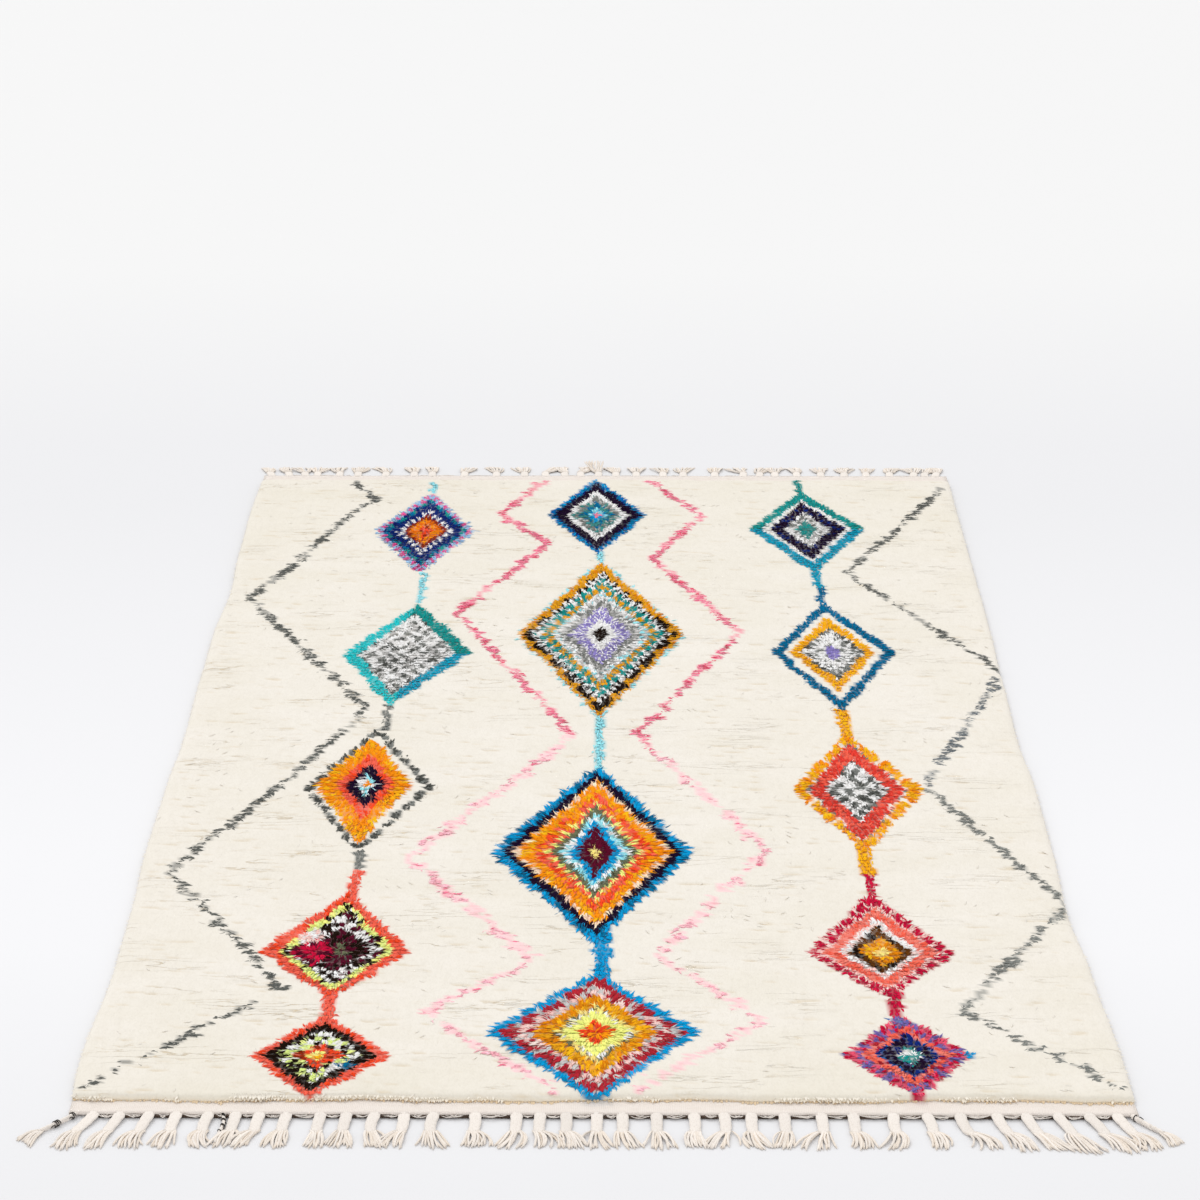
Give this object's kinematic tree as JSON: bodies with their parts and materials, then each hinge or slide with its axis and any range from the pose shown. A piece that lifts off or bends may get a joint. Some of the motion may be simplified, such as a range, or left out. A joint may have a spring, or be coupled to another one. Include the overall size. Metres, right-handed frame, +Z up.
{
  "type": "beni ourain rug",
  "caption": "Flat hand-knotted shaggy wool rug in cream, with columns of coloured lozenges between zigzag lines, flat-woven end bands and plaited fringes with tassels.",
  "frame": {"origin": "on the floor, at the middle of the box round the rug and its fringes", "axes": "+X across the rug, +Y along it to the end with the shorter fringe, +Z up out of the pile"},
  "size_m": [2.07, 3.396, 0.02],
  "materials": {
    "wool_pile": "long matte knotted wool pile, cream with figures in dyed wool",
    "cotton_plaits": "natural cotton, flat plaits ending in loose strands",
    "bound_cord": "natural cotton cord bound with dark thread"
  },
  "bodies": {
    "root": {"rug": "wool_pile", "fringe_front": "cotton_plaits", "fringe_back": "cotton_plaits", "corner_cord_left": "bound_cord", "corner_cord_right": "bound_cord"}
  },
  "joints": []
}
